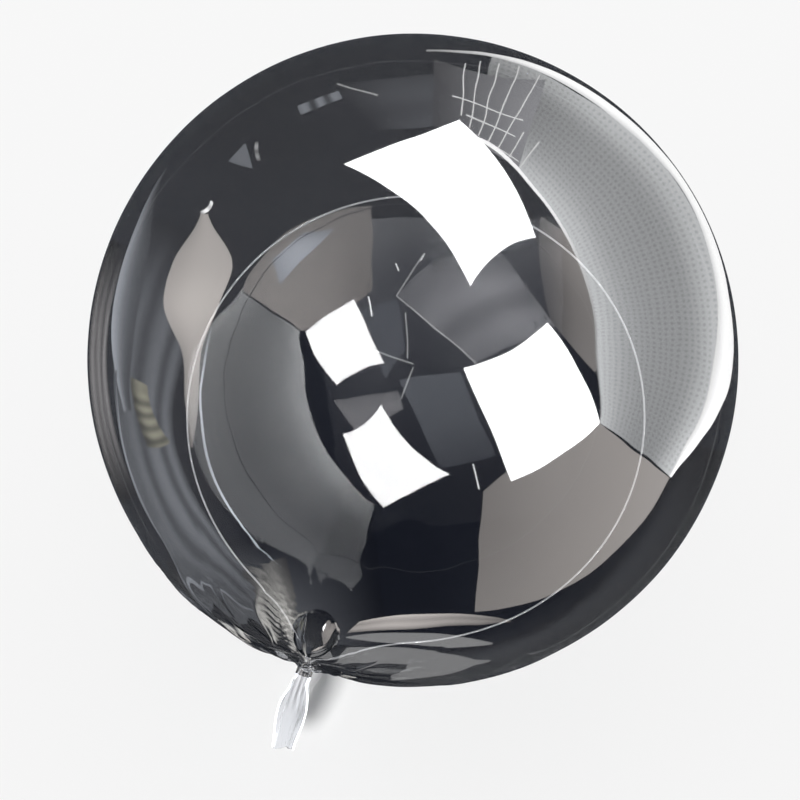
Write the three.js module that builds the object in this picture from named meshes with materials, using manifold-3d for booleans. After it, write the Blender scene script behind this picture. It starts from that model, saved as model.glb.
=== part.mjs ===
// A clear bubble balloon, blown up and lying loose on a table or floor.
//
// The balloon is one welded film envelope: a round bubble whose lower end is
// gathered into a pinched neck and runs out as a flat filling stem. It is sealed,
// so it is modelled as one solid. Millimetres, +Z up, with the origin at the
// middle of the small flat spot that the bubble rests on.

import * as THREE from 'three';
import { mergeVertices } from 'three/addons/utils/BufferGeometryUtils.js';
import Module from 'manifold-3d';

// The bubble.
const BUBBLE_RADIUS = 280;
const FLAT_DEPTH = 1.5; // the flat spot is about 29 mm in radius at this depth

// Where the neck points, and which way the stem's broad face looks, in degrees.
const NECK_DROP = 34; // below the horizontal
const NECK_TURN = 22.2; // from -Y towards -X
const FACE_RISE = 44; // the broad face looks forwards and up

// The gathered neck and the stem, as distances along the neck's own axis.
const SHOULDER_ANGLE = THREE.MathUtils.degToRad(9); // where the round bubble ends
const PINCH_HEIGHT = BUBBLE_RADIUS + 3;
const PINCH_RADIUS = 6.5;
const SHOULDER_LENGTH = 40; // along the film, from the shoulder to the pinch
const PINCH_LENGTH = 16;
const PINCH_FOLDS = 9;
const PINCH_FOLD_HEIGHT = 0.9;
const FAN_LENGTH = 26; // from the pinch to the stem's full width
const STEM_LENGTH = 78; // from the pinch to the cut end
const STEM_HALF_WIDTH = 12.5;
const STEM_HALF_THICKNESS = 1.5;
const STEM_DROOP = 0.42; // radians that the limp stem bends down by
const STEM_TWIST = 0.3; // radians that its flat turns about its length
const STEM_CREASE = 1.5;
const CUT_SLANT = -5; // how much further the stem's one edge is cut than its middle

// The gathers that run from the neck out over the bubble.
const LOBES = 12;
const LOBE_HEIGHT = 4.2;
const LOBE_PEAK = 60; // distance from the pinch where the lobes stand highest
const LOBE_REACH = 190;
const FOLDS = 5;
const FOLD_HEIGHT = 4;
const FOLD_PEAK = 120;
const FOLD_REACH = 260;
const FOLD_SIDE = THREE.MathUtils.degToRad(125); // the side with the deepest long folds

// The small puff of slack film on the front, above the neck.
const PUFF_TURN = THREE.MathUtils.degToRad(90.5);
const PUFF = { distance: 165, turn: PUFF_TURN, length: 23, width: 15.5, height: 15 };

// The weld between the two film panels: a ring round the back of the bubble,
// drawn out to a cusp at the neck, then along both edges of the stem.
const SEAM_ANGLE = THREE.MathUtils.degToRad(59.8); // the ring's radius, as an angle
const SEAM_DROP = THREE.MathUtils.degToRad(6.5); // of the ring's middle, from the back towards the neck
const SEAM_ASIDE = THREE.MathUtils.degToRad(6.7); // and to the side
const SEAM_BEAD = 1.7;
const SEAM_SINK = 0.3;
const SEAM_CUSP_WIDTH = THREE.MathUtils.degToRad(6.7);
const SEAM_PART = 0.7; // radians between each weld and their middle, at the pinch
const SEAM_SIDES = 6;
const SEAM_POINTS = 96;
const SEAM_STEPS = 116;

// How finely the film is divided.
const COLUMNS = 68;
const COLUMN_CROWDING = 0.64; // how much closer than even the columns stand at the puff
const STEM_ROWS = 13;
const FINEST_ROW = 9;
const COARSEST_ROW = 36;
const ROW_GROWTH = 0.085;
const PUFF_ROW = 7.5; // the rows stand closer at the puff too

const bubbleCentre = new THREE.Vector3(0, 0, BUBBLE_RADIUS - FLAT_DEPTH);
const { neckAxis, faceAxis, widthAxis } = neckFrame();
const shoulderHeight = BUBBLE_RADIUS * Math.cos(SHOULDER_ANGLE);
const shoulderRadius = BUBBLE_RADIUS * Math.sin(SHOULDER_ANGLE);
const farPole = SHOULDER_LENGTH + BUBBLE_RADIUS * (Math.PI - SHOULDER_ANGLE);

/** The neck's axis, the way the stem's broad face looks, and the way across it. */
function neckFrame() {
  const drop = THREE.MathUtils.degToRad(NECK_DROP);
  const turn = THREE.MathUtils.degToRad(NECK_TURN);
  const rise = THREE.MathUtils.degToRad(FACE_RISE);
  const axis = new THREE.Vector3(
    -Math.cos(drop) * Math.sin(turn),
    -Math.cos(drop) * Math.cos(turn),
    -Math.sin(drop),
  );
  const face = new THREE.Vector3(0, -Math.cos(rise), Math.sin(rise));
  face.addScaledVector(axis, -face.dot(axis)).normalize();
  const across = new THREE.Vector3().crossVectors(face, axis);
  return { neckAxis: axis, faceAxis: face, widthAxis: across };
}

/** Rises smoothly from 0 to 1 as x goes from low to high. */
function ramp(x, low, high) {
  return THREE.MathUtils.smoothstep(x, low, high);
}

/** A hump over distance that peaks at peak and has died away at reach. */
function hump(distance, peak, reach) {
  return ramp(distance, 0, peak) * (1 - ramp(distance, peak, reach));
}

/** Round lobes with sharp valleys between them, count to the full turn. */
function lobes(turn, count) {
  const uneven = turn + 0.17 * Math.sin(2 * turn + 1) + 0.09 * Math.sin(3 * turn);
  return Math.abs(Math.sin((count * uneven) / 2)) - 0.6;
}

/** How far the puff lifts the film at a place on the bubble. */
function puffHeight(distance, turn) {
  const angle = SHOULDER_ANGLE + (distance - SHOULDER_LENGTH) / BUBBLE_RADIUS;
  const aside = Math.atan2(Math.sin(turn - PUFF.turn), Math.cos(turn - PUFF.turn));
  const across = (aside * BUBBLE_RADIUS * Math.sin(angle)) / PUFF.width;
  const along = (distance - PUFF.distance) / PUFF.length;
  const inside = Math.max(0, 1 - across ** 2 - along ** 2);
  return PUFF.height * Math.sqrt(inside) * ramp(inside, 0, 0.5);
}

/** How far gathers, long folds and the puff move the film out from the plain bubble. */
function relief(distance, turn) {
  const side = 0.55 + 0.45 * Math.cos(turn - FOLD_SIDE);
  return (
    LOBE_HEIGHT * hump(distance, LOBE_PEAK, LOBE_REACH) * lobes(turn, LOBES)
    + FOLD_HEIGHT * side * hump(distance, FOLD_PEAK, FOLD_REACH) * lobes(turn + 0.4, FOLDS)
    + puffHeight(distance, turn)
  );
}

/** The unit direction at right angles to the neck's axis, at an angle round it. */
function sideways(turn) {
  return new THREE.Vector3()
    .addScaledVector(widthAxis, Math.cos(turn))
    .addScaledVector(faceAxis, Math.sin(turn));
}

/** A point on the bubble, by its distance from the pinch along the film. */
function bubblePoint(distance, turn) {
  const angle = SHOULDER_ANGLE + (distance - SHOULDER_LENGTH) / BUBBLE_RADIUS;
  const outward = new THREE.Vector3()
    .addScaledVector(neckAxis, Math.cos(angle))
    .addScaledVector(sideways(turn), Math.sin(angle));
  return outward.multiplyScalar(BUBBLE_RADIUS + relief(distance, turn)).add(bubbleCentre);
}

/** A point on the shoulder, where the film runs in from the bubble to the pinch. */
function shoulderPoint(distance, turn) {
  const t = 1 - distance / SHOULDER_LENGTH;
  const rest = 1 - t;
  const lean = SHOULDER_LENGTH * 0.4;
  const h1 = shoulderHeight + lean * Math.sin(SHOULDER_ANGLE);
  const r1 = shoulderRadius - lean * Math.cos(SHOULDER_ANGLE);
  const h2 = PINCH_HEIGHT - lean * 0.5;
  const bezier = (a, b, c, d) => (
    a * rest ** 3 + 3 * b * rest ** 2 * t + 3 * c * rest * t ** 2 + d * t ** 3
  );
  const height = bezier(shoulderHeight, h1, h2, PINCH_HEIGHT);
  const radius = bezier(shoulderRadius, r1, pinchRadius(turn), pinchRadius(turn));
  return bubbleCentre.clone()
    .addScaledVector(neckAxis, height + relief(distance, turn))
    .addScaledVector(sideways(turn), radius);
}

/** The bunched neck's radius, folded like a closed umbrella. */
function pinchRadius(turn) {
  return PINCH_RADIUS + PINCH_FOLD_HEIGHT * Math.cos(PINCH_FOLDS * turn);
}

/** The stem's middle and its three directions, at a distance past the pinch. */
function stemFrame(distance) {
  const hinge = new THREE.Vector3().crossVectors(neckAxis, new THREE.Vector3(0, 0, -1)).normalize();
  const middle = bubbleCentre.clone().addScaledVector(neckAxis, PINCH_HEIGHT);
  const along = neckAxis.clone();
  const pieces = 12;
  for (let i = 0; i < pieces; i += 1) {
    const place = ((i + 0.5) / pieces) * distance;
    const bend = STEM_DROOP * ramp(place, 0, STEM_LENGTH);
    along.copy(neckAxis).applyAxisAngle(hinge, bend);
    middle.addScaledVector(along, distance / pieces);
  }
  const bend = STEM_DROOP * ramp(distance, 0, STEM_LENGTH);
  const twist = STEM_TWIST * ramp(distance, PINCH_LENGTH, STEM_LENGTH);
  along.copy(neckAxis).applyAxisAngle(hinge, bend);
  const turned = (axis) => axis.clone().applyAxisAngle(hinge, bend).applyAxisAngle(along, twist);
  return { middle, along, across: turned(widthAxis), face: turned(faceAxis) };
}

/** A point on the neck or the stem: round and bunched at the pinch, flat further out. */
function stemPoint(distance, turn) {
  const { middle, along, across, face } = stemFrame(distance);
  const flat = ramp(distance, PINCH_LENGTH * 0.6, PINCH_LENGTH + FAN_LENGTH);
  const even = 1 - Math.abs(Math.atan2(Math.sin(turn), Math.cos(turn))) * (2 / Math.PI);
  const halfWidth = STEM_HALF_WIDTH * (1 - 0.18 * ramp(distance, STEM_LENGTH * 0.6, STEM_LENGTH));
  const halfThickness = STEM_HALF_THICKNESS * Math.sign(Math.sin(turn)) * Math.abs(Math.sin(turn)) ** 0.6;
  const crease = STEM_CREASE * Math.sin(4.2 * even + 0.05 * distance) * (1 - 0.3 * even ** 2);
  const x = THREE.MathUtils.lerp(pinchRadius(turn) * Math.cos(turn), halfWidth * even, flat);
  const y = THREE.MathUtils.lerp(pinchRadius(turn) * Math.sin(turn), halfThickness + crease, flat);
  const slant = CUT_SLANT * (x / STEM_HALF_WIDTH) * ramp(distance, STEM_LENGTH * 0.5, STEM_LENGTH);
  return middle
    .addScaledVector(across, x)
    .addScaledVector(face, y)
    .addScaledVector(along, slant);
}

/** A point on the film, by its distance from the pinch: negative distances are on the stem. */
function filmPoint(distance, turn) {
  if (distance <= 0) {
    return stemPoint(-distance, turn);
  }
  return distance < SHOULDER_LENGTH ? shoulderPoint(distance, turn) : bubblePoint(distance, turn);
}

/** The distances of the film's rows of points, from the cut end up to the far side. */
function rowDistances() {
  const rows = [];
  for (let i = 0; i < STEM_ROWS; i += 1) {
    rows.push(-STEM_LENGTH * (1 - i / STEM_ROWS));
  }
  for (let d = 0; d < farPole - COARSEST_ROW * 0.6;) {
    rows.push(d);
    const step = Math.min(COARSEST_ROW, FINEST_ROW + ROW_GROWTH * d);
    const onPuff = Math.abs(d + PUFF_ROW - PUFF.distance) < PUFF.length + PUFF_ROW;
    d += onPuff ? PUFF_ROW : step;
  }
  return rows;
}

/** The turn of a column of points round the neck. Columns crowd together at the puff. */
function columnTurn(column) {
  const even = (column / COLUMNS) * 2 * Math.PI;
  return even - COLUMN_CROWDING * Math.sin(even - PUFF.turn);
}

/** The whole film envelope as one closed skin, lofted row by row from the cut end. */
function envelopeGeometry() {
  const rows = rowDistances();
  const points = [stemFrame(STEM_LENGTH).middle];
  for (const distance of rows) {
    for (let column = 0; column < COLUMNS; column += 1) {
      points.push(filmPoint(distance, columnTurn(column)));
    }
  }
  points.push(bubblePoint(farPole, 0));

  const at = (row, column) => 1 + row * COLUMNS + (column % COLUMNS);
  const last = points.length - 1;
  const faces = [];
  for (let column = 0; column < COLUMNS; column += 1) {
    faces.push(0, at(0, column), at(0, column + 1));
    for (let row = 0; row + 1 < rows.length; row += 1) {
      const [a, b] = [at(row, column), at(row, column + 1)];
      const [c, d] = [at(row + 1, column + 1), at(row + 1, column)];
      faces.push(a, c, b, a, d, c);
    }
    faces.push(at(rows.length - 1, column), last, at(rows.length - 1, column + 1));
  }
  const geometry = new THREE.BufferGeometry().setFromPoints(points);
  geometry.setIndex(faces);
  return geometry;
}

/** The weld's place on the film as [distance, turn], for a share of the way round the ring. */
function seamPlace(share) {
  const middle = faceAxis.clone().multiplyScalar(-Math.cos(SEAM_DROP) * Math.cos(SEAM_ASIDE))
    .addScaledVector(widthAxis, Math.cos(SEAM_DROP) * Math.sin(SEAM_ASIDE))
    .addScaledVector(neckAxis, Math.sin(SEAM_DROP));
  const towardsNeck = neckAxis.clone().addScaledVector(middle, -neckAxis.dot(middle)).normalize();
  const beside = new THREE.Vector3().crossVectors(middle, towardsNeck);
  const round = Math.PI * (1 - Math.cos(Math.PI * share));
  const cusp = Math.exp(-Math.min(round, 2 * Math.PI - round) / SEAM_CUSP_WIDTH);
  const angle = THREE.MathUtils.lerp(SEAM_ANGLE, neckAxis.angleTo(middle), cusp);
  const direction = middle.multiplyScalar(Math.cos(angle))
    .addScaledVector(towardsNeck, Math.sin(angle) * Math.cos(round))
    .addScaledVector(beside, Math.sin(angle) * Math.sin(round));
  const fromNeck = direction.angleTo(neckAxis);
  const turn = Math.atan2(direction.dot(faceAxis), direction.dot(widthAxis));
  const distance = fromNeck < SHOULDER_ANGLE
    ? (SHOULDER_LENGTH * fromNeck) / SHOULDER_ANGLE
    : SHOULDER_LENGTH + (fromNeck - SHOULDER_ANGLE) * BUBBLE_RADIUS;
  return [distance, turn];
}

/** The weld's line, from the stem's one edge round the bubble to its other edge. */
function seamPath() {
  const atPinch = -Math.PI / 2;
  const line = [];
  const stemStretch = (side, i) => {
    const distance = STEM_LENGTH * (i / STEM_ROWS);
    const spread = ramp(distance, 0, PINCH_LENGTH + FAN_LENGTH * 0.5);
    return stemPoint(distance, atPinch + side * THREE.MathUtils.lerp(SEAM_PART, Math.PI / 2, spread));
  };
  for (let i = STEM_ROWS; i >= 0; i -= 1) {
    line.push(stemStretch(-1, i));
  }
  for (let i = 1; i < SEAM_POINTS; i += 1) {
    const [distance, turn] = seamPlace(i / SEAM_POINTS);
    if (distance > FINEST_ROW) {
      const inwards = filmPoint(distance, turn).sub(bubbleCentre).setLength(-SEAM_SINK);
      line.push(filmPoint(distance, turn).add(inwards));
    }
  }
  for (let i = 0; i <= STEM_ROWS; i += 1) {
    line.push(stemStretch(1, i));
  }
  return new THREE.CatmullRomCurve3(line, false, 'centripetal');
}

/** The weld's rounded bead, as a closed tube. */
function seamGeometry() {
  const section = new THREE.Shape();
  for (let side = 0; side < SEAM_SIDES; side += 1) {
    const turn = (side / SEAM_SIDES) * 2 * Math.PI;
    const [x, y] = [SEAM_BEAD * Math.cos(turn), SEAM_BEAD * Math.sin(turn)];
    if (side === 0) {
      section.moveTo(x, y);
    } else {
      section.lineTo(x, y);
    }
  }
  section.closePath();
  return new THREE.ExtrudeGeometry(section, { steps: SEAM_STEPS, extrudePath: seamPath() });
}

/** The block below the floor that cuts the flat spot. */
function floorGeometry() {
  const side = BUBBLE_RADIUS * 2;
  return new THREE.BoxGeometry(side, side, side).translate(0, 0, -side / 2);
}

/** A manifold solid from a closed three.js geometry. */
function toSolid(wasm, geometry) {
  const bare = geometry.clone();
  bare.deleteAttribute('normal');
  bare.deleteAttribute('uv');
  const merged = mergeVertices(bare, 1e-4);
  const mesh = new wasm.Mesh({
    numProp: 3,
    vertProperties: new Float32Array(merged.attributes.position.array),
    triVerts: new Uint32Array(merged.index.array),
  });
  return new wasm.Manifold(mesh);
}

/** A three.js geometry from a manifold solid. */
function toGeometry(solid) {
  const { vertProperties, triVerts } = solid.getMesh();
  const geometry = new THREE.BufferGeometry();
  geometry.setAttribute('position', new THREE.BufferAttribute(vertProperties, 3));
  geometry.setIndex(new THREE.BufferAttribute(triVerts, 1));
  geometry.computeVertexNormals();
  return geometry;
}

/** The envelope with its weld fused on and its flat spot cut. */
async function balloonGeometry() {
  const wasm = await Module();
  wasm.setup();
  const envelope = toSolid(wasm, envelopeGeometry());
  const seam = toSolid(wasm, seamGeometry());
  const floor = toSolid(wasm, floorGeometry());
  return toGeometry(envelope.add(seam).subtract(floor));
}

const film = new THREE.MeshStandardMaterial({
  name: 'smoke_film',
  color: 0x3a3c42,
  roughness: 0.04,
  metalness: 0,
  transparent: true,
  opacity: 0.5,
});

const balloon = new THREE.Mesh(await balloonGeometry(), film);
balloon.name = 'bubble_balloon';

const group = new THREE.Group();
group.add(balloon);

export default group;
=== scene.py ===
"""A clear bubble balloon, blown up and lying loose on a pale floor.

The film envelope is one skin: a round bubble, gathers that run into a pinched
neck, and a flat filling stem. A weld joins its two panels. Everything is in
metres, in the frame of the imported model.
"""

import logging
import math
from dataclasses import dataclass
from enum import Enum

import bmesh
import bpy
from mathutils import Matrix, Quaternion, Vector


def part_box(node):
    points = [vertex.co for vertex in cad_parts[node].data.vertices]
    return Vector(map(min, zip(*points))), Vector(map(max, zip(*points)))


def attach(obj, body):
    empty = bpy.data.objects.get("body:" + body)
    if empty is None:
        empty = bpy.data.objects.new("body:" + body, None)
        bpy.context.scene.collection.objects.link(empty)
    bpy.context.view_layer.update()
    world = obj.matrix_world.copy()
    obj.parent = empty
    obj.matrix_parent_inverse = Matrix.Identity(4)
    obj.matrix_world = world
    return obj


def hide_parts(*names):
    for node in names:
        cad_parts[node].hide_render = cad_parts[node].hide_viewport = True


logging.basicConfig(level=logging.INFO, format="%(message)s")
log = logging.getLogger("balloon")

NODE = "bubble_balloon"
BODY = "root"

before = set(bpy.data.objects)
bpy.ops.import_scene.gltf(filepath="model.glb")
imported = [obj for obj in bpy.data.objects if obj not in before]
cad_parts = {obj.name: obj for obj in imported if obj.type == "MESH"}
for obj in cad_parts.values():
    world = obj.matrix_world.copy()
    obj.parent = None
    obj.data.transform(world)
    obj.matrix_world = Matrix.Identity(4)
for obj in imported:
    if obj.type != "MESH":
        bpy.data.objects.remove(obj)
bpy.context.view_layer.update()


class Zone(Enum):
    """A stretch of the film and the material index that dresses it."""

    BUBBLE = 0
    STEM = 1


class SeenBy(Enum):
    """What meets a thing on the set: mirror-like surfaces only, or all but those."""

    REFLECTIONS = "reflections"
    ALL_BUT_REFLECTIONS = "all but reflections"


def ramp(value: float, low: float, high: float) -> float:
    """Rise smoothly from 0 to 1.

    Args:
        value: Where to read the rise.
        low: Where it starts.
        high: Where it ends.

    Returns:
        A number from 0 to 1.
    """
    share = min(max((value - low) / (high - low), 0.0), 1.0)
    return share * share * (3 - 2 * share)


def hump(value: float, peak: float, reach: float) -> float:
    """Give a smooth hump that starts at 0, tops out at peak and ends at reach."""
    return ramp(value, 0.0, peak) * (1 - ramp(value, peak, reach))


def between(start: float, end: float, share: float) -> float:
    """Give the number at a share of the way from start to end."""
    return start + (end - start) * share


@dataclass(frozen=True)
class NeckFrame:
    """The bubble's middle and size, and the three directions at its neck."""

    centre: Vector
    radius: float
    neck: Vector
    face: Vector
    across: Vector

    @classmethod
    def from_box(cls, flat_depth: float, drop: float, turn: float, rise: float) -> "NeckFrame":
        """Work the frame out from the CAD node's box.

        Args:
            flat_depth: How much of the round bubble the flat spot takes off.
            drop: The neck's angle below the horizontal.
            turn: The neck's angle from -Y towards -X.
            rise: How far above -Y the stem's broad face looks.

        Returns:
            The frame that all the film's points are placed in.
        """
        _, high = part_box(NODE)
        radius = (high.z + flat_depth) / 2
        neck = Vector(
            (-math.cos(drop) * math.sin(turn), -math.cos(drop) * math.cos(turn), -math.sin(drop))
        )
        face = Vector((0.0, -math.cos(rise), math.sin(rise)))
        face = (face - face.dot(neck) * neck).normalized()
        return cls(Vector((0, 0, radius - flat_depth)), radius, neck, face, face.cross(neck))

    def sideways(self, turn: float) -> Vector:
        """Give the direction at right angles to the neck's axis, at an angle round it."""
        return self.across * math.cos(turn) + self.face * math.sin(turn)


@dataclass(frozen=True)
class Puff:
    """A small bulge of slack film above the neck."""

    distance: float = 0.165
    turn: float = math.radians(90.5)
    length: float = 0.023
    width: float = 0.0155
    height: float = 0.0150


@dataclass(frozen=True)
class FilmForm:
    """The film's shape, as a point for each distance from the pinch and turn round the neck.

    Slack film gathers unevenly, so the turns that the gathers are counted in drift by small
    slow waves. Their numbers are shares of a turn, waves to the turn and starting angles,
    chosen so that no two gathers are alike.
    """

    axes: NeckFrame
    shoulder_angle: float = math.radians(9)
    shoulder_length: float = 0.040
    pinch_rise: float = 0.003
    pinch_radius: float = 0.0065
    pinch_length: float = 0.016
    pinch_folds: int = 9
    pinch_fold_height: float = 0.0009
    fan_length: float = 0.026
    stem_length: float = 0.078
    stem_half_width: float = 0.0125
    stem_half_thickness: float = 0.0011
    stem_droop: float = 0.42
    stem_twist: float = 0.3
    stem_crease: float = 0.0022
    cut_slant: float = -0.005
    lobes: int = 12
    lobe_height: float = 0.0042
    lobe_peak: float = 0.060
    lobe_reach: float = 0.190
    folds: int = 5
    fold_height: float = 0.004
    fold_peak: float = 0.120
    fold_reach: float = 0.260
    fold_side: float = math.radians(125)
    pleats: int = 19
    pleat_height: float = 0.0032
    pleat_peak: float = 0.120
    pleat_reach: float = 0.258
    wrinkles: int = 43
    wrinkle_height: float = 0.0011
    wrinkle_reach: float = 0.150
    crumple_height: float = 0.0016
    crumple_start: float = 0.118
    crumple_turn: float = math.radians(92.5)
    crumple_lean: float = math.radians(140)
    crumple_width: float = math.radians(4.5)
    crumple_peak: float = 0.150
    crumple_reach: float = 0.250
    crumple_waves: float = 350.0
    unevenness: float = 0.00007
    puff: Puff = Puff()

    @property
    def far_pole(self) -> float:
        """The film's length from the pinch to the point furthest from it."""
        return self.shoulder_length + self.axes.radius * (math.pi - self.shoulder_angle)

    def _lobed(self, turn: float, count: int) -> float:
        """Give round lobes with sharp valleys between them, count to the full turn.

        Args:
            turn: The angle round the neck's axis.
            count: How many lobes the full turn has.

        Returns:
            A height from -0.6 in the valleys to 0.4 on the lobes.
        """
        uneven = turn + 0.17 * math.sin(2 * turn + 1) + 0.09 * math.sin(3 * turn)
        return abs(math.sin(count * uneven / 2)) - 0.6

    def _puff_height(self, distance: float, turn: float) -> float:
        """Give how far the puff lifts the film at a place on the bubble.

        Args:
            distance: The distance from the pinch along the film.
            turn: The angle round the neck's axis.

        Returns:
            The lift in metres, and 0 beside the puff.
        """
        puff = self.puff
        angle = self.shoulder_angle + (distance - self.shoulder_length) / self.axes.radius
        aside = math.remainder(turn - puff.turn, 2 * math.pi)
        across = aside * self.axes.radius * math.sin(angle) / puff.width
        along = (distance - puff.distance) / puff.length
        inside = max(0.0, 1 - across**2 - along**2)
        return puff.height * math.sqrt(inside) * ramp(inside, 0.0, 0.12)

    def _pleated(self, distance: float, turn: float) -> float:
        """Give sharp uneven pleats that run out at different lengths.

        Args:
            distance: The distance from the pinch along the film.
            turn: The angle round the neck's axis.

        Returns:
            The lift in metres.
        """
        reach = self.pleat_reach * (0.82 + 0.18 * math.sin(3 * turn + 0.7))
        wavy = turn + 0.035 * math.sin(70 * distance + 3 * turn)
        strength = 0.65 + 0.35 * math.sin(4 * turn + 2.2)
        shape = hump(distance, self.pleat_peak, reach) * strength
        uneven = wavy + 0.23 + 0.17 * math.sin(2 * turn + 2)
        return self.pleat_height * shape * (1 - abs(math.sin(self.pleats * uneven / 2))) ** 2

    def _crumpled(self, distance: float, turn: float) -> float:
        """Give short cross wrinkles on the strip of slack film beside the weld.

        Args:
            distance: The distance from the pinch along the film.
            turn: The angle round the neck's axis.

        Returns:
            The lift in metres, half of it inwards.
        """
        middle = self.crumple_turn + self.crumple_lean * (distance - self.crumple_start)
        aside = math.remainder(turn - middle, 2 * math.pi) / self.crumple_width
        strip = math.exp(-(aside**2)) * hump(distance, self.crumple_peak, self.crumple_reach)
        zigzag = distance + 0.004 * math.sin(26 * turn) + 0.002 * math.sin(61 * turn + 1)
        return self.crumple_height * strip * (abs(math.sin(self.crumple_waves * zigzag)) - 0.5)

    def _uneven(self, outward: Vector) -> float:
        """Give the stretch film's broad shallow waves, which bend what it mirrors.

        Args:
            outward: The direction from the bubble's middle.

        Returns:
            The lift in metres.
        """
        x, y, z = outward
        slow = math.sin(19 * x + 4 * y + 1) * math.sin(17 * y - 5 * z) + math.sin(15 * z + 6 * x)
        quick = math.sin(31 * x - 11 * z + 2) * math.sin(37 * y + 9 * x) * math.sin(29 * z + 1)
        return self.unevenness * (slow + 0.7 * quick)

    def relief(self, distance: float, turn: float) -> float:
        """Give how far gathers, folds, pleats, wrinkles and the puff move the film outwards.

        Args:
            distance: The distance from the pinch along the film.
            turn: The angle round the neck's axis.

        Returns:
            The lift in metres.
        """
        if distance > self.fold_reach:
            return 0.0
        side = 0.55 + 0.45 * math.cos(turn - self.fold_side)
        gathers = self.lobe_height * hump(distance, self.lobe_peak, self.lobe_reach)
        folds = self.fold_height * side * hump(distance, self.fold_peak, self.fold_reach)
        fine = self.wrinkle_height * hump(distance, self.lobe_peak / 2, self.wrinkle_reach)
        zigzag = turn + 0.03 * math.sin(150 * distance + 5 * turn)
        return (
            gathers * self._lobed(turn, self.lobes)
            + folds * self._lobed(turn + 0.4, self.folds)
            + fine * self._lobed(zigzag + 1.1, self.wrinkles)
            + self._pleated(distance, turn)
            + self._crumpled(distance, turn)
            + self._puff_height(distance, turn)
        )

    def bubble_point(self, distance: float, turn: float) -> Vector:
        """Give a point on the bubble.

        Args:
            distance: The distance from the pinch along the film.
            turn: The angle round the neck's axis.

        Returns:
            The point in the row frame.
        """
        angle = self.shoulder_angle + (distance - self.shoulder_length) / self.axes.radius
        outward = self.axes.neck * math.cos(angle) + self.axes.sideways(turn) * math.sin(angle)
        lift = self.relief(distance, turn) + self._uneven(outward)
        return self.axes.centre + outward * (self.axes.radius + lift)

    def pinched_radius(self, turn: float) -> float:
        """Give the bunched neck's radius, folded like a closed umbrella."""
        return self.pinch_radius + self.pinch_fold_height * math.cos(self.pinch_folds * turn)

    def shoulder_point(self, distance: float, turn: float) -> Vector:
        """Give a point where the film runs in from the bubble to the pinch.

        Args:
            distance: The distance from the pinch along the film.
            turn: The angle round the neck's axis.

        Returns:
            The point in the row frame, on a smooth curve from the bubble to the neck.
        """
        share = 1 - distance / self.shoulder_length
        rest = 1 - share
        lean = self.shoulder_length * 0.4
        height = self.axes.radius * math.cos(self.shoulder_angle)
        radius = self.axes.radius * math.sin(self.shoulder_angle)
        top = self.axes.radius + self.pinch_rise
        pinched = self.pinched_radius(turn)
        heights = (height, height + lean * math.sin(self.shoulder_angle), top - lean * 0.5, top)
        radii = (radius, radius - lean * math.cos(self.shoulder_angle), pinched, pinched)
        weights = (rest**3, 3 * rest**2 * share, 3 * rest * share**2, share**3)
        along = sum(h * w for h, w in zip(heights, weights)) + self.relief(distance, turn)
        out = sum(r * w for r, w in zip(radii, weights))
        return self.axes.centre + self.axes.neck * along + self.axes.sideways(turn) * out

    def stem_frame(self, distance: float) -> tuple[Vector, Vector, Vector, Vector]:
        """Give the stem's middle and its directions along, across and out of its face.

        Args:
            distance: How far past the pinch.

        Returns:
            The middle, the direction along the stem, across it and out of its broad face.
        """
        hinge = self.axes.neck.cross(Vector((0, 0, -1))).normalized()
        middle = self.axes.centre + self.axes.neck * (self.axes.radius + self.pinch_rise)
        pieces = 12
        for piece in range(pieces):
            place = (piece + 0.5) / pieces * distance
            bend = self.stem_droop * ramp(place, 0.0, self.stem_length)
            middle = middle + Quaternion(hinge, bend) @ self.axes.neck * (distance / pieces)
        droop = Quaternion(hinge, self.stem_droop * ramp(distance, 0.0, self.stem_length))
        along = droop @ self.axes.neck
        twist = Quaternion(
            along, self.stem_twist * ramp(distance, self.pinch_length, self.stem_length)
        )
        return middle, along, twist @ (droop @ self.axes.across), twist @ (droop @ self.axes.face)

    def stem_offsets(self, distance: float, turn: float) -> tuple[float, float, float]:
        """Give a stem point's distances from the stem's middle: across, out and along.

        Args:
            distance: How far past the pinch.
            turn: The angle round the neck's axis.

        Returns:
            The three distances in metres.
        """
        opened = self.pinch_length + self.fan_length
        flat = ramp(distance, self.pinch_length * 0.6, opened)
        even = 1 - abs(math.remainder(turn, 2 * math.pi)) * (2 / math.pi)
        narrowed = 0.18 * ramp(distance, self.stem_length * 0.6, self.stem_length)
        half_width = self.stem_half_width * (1 - narrowed)
        side = math.copysign(abs(math.sin(turn)) ** 0.6, math.sin(turn))
        crease = math.sin(4.2 * even + 50 * distance) * (1 - 0.3 * even**2)
        fine = 0.30 * math.sin(11 * even + 2.0 + 90 * distance)
        creased = self.stem_crease * (crease + fine * flat)
        pinched = self.pinched_radius(turn)
        across = between(pinched * math.cos(turn), half_width * even, flat)
        out = between(
            pinched * math.sin(turn), self.stem_half_thickness * side + creased, flat
        )
        slant = self.cut_slant * across / self.stem_half_width
        return across, out, slant * ramp(distance, self.stem_length * 0.5, self.stem_length)

    def point(self, distance: float, turn: float) -> Vector:
        """Give a point of the film, with negative distances on the stem.

        Args:
            distance: The distance from the pinch along the film.
            turn: The angle round the neck's axis.

        Returns:
            The point in the row frame.
        """
        if distance > self.shoulder_length:
            return self.bubble_point(distance, turn)
        if distance > 0:
            return self.shoulder_point(distance, turn)
        middle, along, across, out = self.stem_frame(-distance)
        offsets = self.stem_offsets(-distance, turn)
        return middle + across * offsets[0] + out * offsets[1] + along * offsets[2]


def deselect_all() -> None:
    """Leave object mode's selection empty, so that an operator acts on the new piece alone."""
    bpy.ops.object.select_all(action="DESELECT")


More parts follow.
